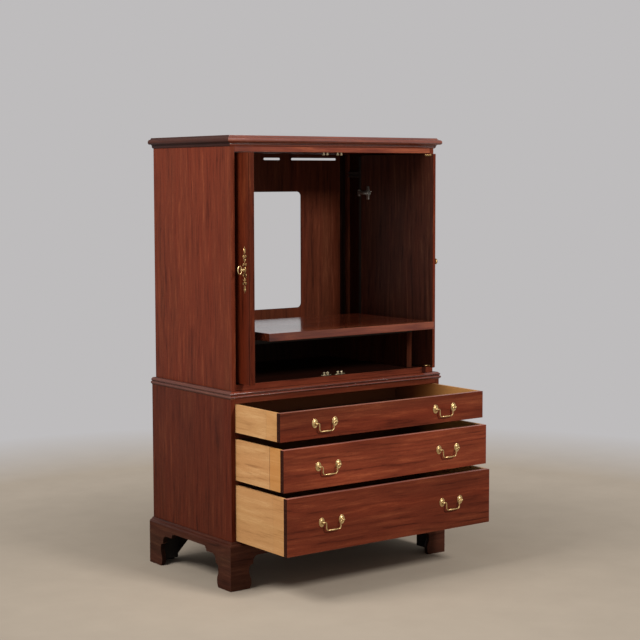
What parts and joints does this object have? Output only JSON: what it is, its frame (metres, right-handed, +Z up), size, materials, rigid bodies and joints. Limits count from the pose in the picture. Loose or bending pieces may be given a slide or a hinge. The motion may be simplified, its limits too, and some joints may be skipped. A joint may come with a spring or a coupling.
{
  "type": "tv armoire",
  "caption": "TV armoire: an upper case with pocket doors, a pull-out television platform and a video bay, over a chest of wide drawers on bracket feet.",
  "frame": {"origin": "on the floor under the middle of the bounding box in the open rest pose", "axes": "+Z up; the front, with doors and drawers, faces -Y; +X to the right of someone who faces the front"},
  "size_m": [1.068, 0.925, 1.7148],
  "materials": {
    "case_wood": "satin red-brown mahogany",
    "back_veneer": "thin satin veneer",
    "shelf_wood": "dark satin",
    "frame_wood": "plain stained secondary wood",
    "drawer_wood": "clear satin maple",
    "brass": "antique satin",
    "key_brass": "polished",
    "plated_steel": "nickel plated",
    "slide_steel": "zinc plated",
    "track_plastic": "matt dark brown"
  },
  "bodies": {
    "case": {"front_base_board": "case_wood", "left_base_board": "case_wood", "right_base_board": "case_wood", "rear_brackets": "frame_wood", "foot_blocks": "frame_wood", "lower_left_side": "case_wood", "lower_right_side": "case_wood", "lower_bottom_board": "case_wood", "lower_back_panel": "back_veneer", "drawer_web_frames": "frame_wood", "lower_top_board": "case_wood", "waist_moulding": "case_wood", "upper_left_side": "case_wood", "upper_right_side": "case_wood", "upper_floor_board": "case_wood", "upper_ceiling_board": "case_wood", "upper_back_panel": "back_veneer", "back_cleats": "frame_wood", "frieze_rail": "case_wood", "cornice": "case_wood", "top_board": "case_wood", "video_bay_dividers": "case_wood", "video_shelf": "shelf_wood", "shelf_slides": "slide_steel", "door_tracks": "track_plastic", "ball_catches": "plated_steel"},
    "platform": {"tv_platform": "case_wood", "platform_slides": "slide_steel"},
    "left_door": {"left_door_panel": "case_wood", "left_door_moulding": "case_wood", "left_door_carrier": "case_wood", "left_door_hinges": "plated_steel", "left_door_strikes": "plated_steel", "left_door_escutcheon": "brass", "left_door_lock": "plated_steel"},
    "left_key": {"left_door_key": "key_brass"},
    "right_door": {"right_door_panel": "case_wood", "right_door_moulding": "case_wood", "right_door_carrier": "case_wood", "right_door_hinges": "plated_steel", "right_door_strikes": "plated_steel", "right_door_pull": "brass"},
    "top_drawer": {"top_drawer_front": "case_wood", "top_drawer_box": "drawer_wood", "top_drawer_floor": "drawer_wood", "top_drawer_rosettes": "brass"},
    "top_left_handle": {"top_left_bail": "brass"},
    "top_right_handle": {"top_right_bail": "brass"},
    "middle_drawer": {"middle_drawer_front": "case_wood", "middle_drawer_box": "drawer_wood", "middle_drawer_floor": "drawer_wood", "middle_drawer_rosettes": "brass"},
    "middle_left_handle": {"middle_left_bail": "brass"},
    "middle_right_handle": {"middle_right_bail": "brass"},
    "bottom_drawer": {"bottom_drawer_front": "case_wood", "bottom_drawer_box": "drawer_wood", "bottom_drawer_floor": "drawer_wood", "bottom_drawer_rosettes": "brass"},
    "bottom_left_handle": {"bottom_left_bail": "brass"},
    "bottom_right_handle": {"bottom_right_bail": "brass"}
  },
  "joints": [
    {"name": "top_drawer_slide", "type": "slide", "parent": "case", "child": "top_drawer", "axis": [0, -1, 0], "range_m": [-0.29, 0.11]},
    {"name": "middle_drawer_slide", "type": "slide", "parent": "case", "child": "middle_drawer", "axis": [0, -1, 0], "range_m": [-0.311, 0.089]},
    {"name": "bottom_drawer_slide", "type": "slide", "parent": "case", "child": "bottom_drawer", "axis": [0, -1, 0], "range_m": [-0.331, 0.069]},
    {"name": "tv_platform_slide", "type": "slide", "parent": "case", "child": "platform", "axis": [0, -1, 0], "range_m": [-0.142, 0.208]},
    {"name": "left_door_slide", "type": "slide", "parent": "case", "child": "left_door", "axis": [0, -1, 0], "range_m": [-0.02, 0.37]},
    {"name": "right_door_slide", "type": "slide", "parent": "case", "child": "right_door", "axis": [0, -1, 0], "range_m": [-0.015, 0.37]},
    {"name": "left_key_turn", "type": "hinge", "parent": "left_door", "child": "left_key", "pos_m": [-0.47, -0.1345, 1.2138], "axis": [1, 0, 0], "range_deg": [-90, 90]},
    {"name": "top_left_bail_swing", "type": "hinge", "parent": "top_drawer", "child": "top_left_handle", "pos_m": [-0.292, -0.4165, 0.6578], "axis": [-1, 0, 0], "range_deg": [0, 85]},
    {"name": "top_right_bail_swing", "type": "hinge", "parent": "top_drawer", "child": "top_right_handle", "pos_m": [0.292, -0.4165, 0.6578], "axis": [-1, 0, 0], "range_deg": [0, 85]},
    {"name": "middle_left_bail_swing", "type": "hinge", "parent": "middle_drawer", "child": "middle_left_handle", "pos_m": [-0.292, -0.4375, 0.5004], "axis": [-1, 0, 0], "range_deg": [0, 85]},
    {"name": "middle_right_bail_swing", "type": "hinge", "parent": "middle_drawer", "child": "middle_right_handle", "pos_m": [0.292, -0.4375, 0.5004], "axis": [-1, 0, 0], "range_deg": [0, 85]},
    {"name": "bottom_left_bail_swing", "type": "hinge", "parent": "bottom_drawer", "child": "bottom_left_handle", "pos_m": [-0.292, -0.4575, 0.2965], "axis": [-1, 0, 0], "range_deg": [0, 85]},
    {"name": "bottom_right_bail_swing", "type": "hinge", "parent": "bottom_drawer", "child": "bottom_right_handle", "pos_m": [0.292, -0.4575, 0.2965], "axis": [-1, 0, 0], "range_deg": [0, 85]}
  ]
}
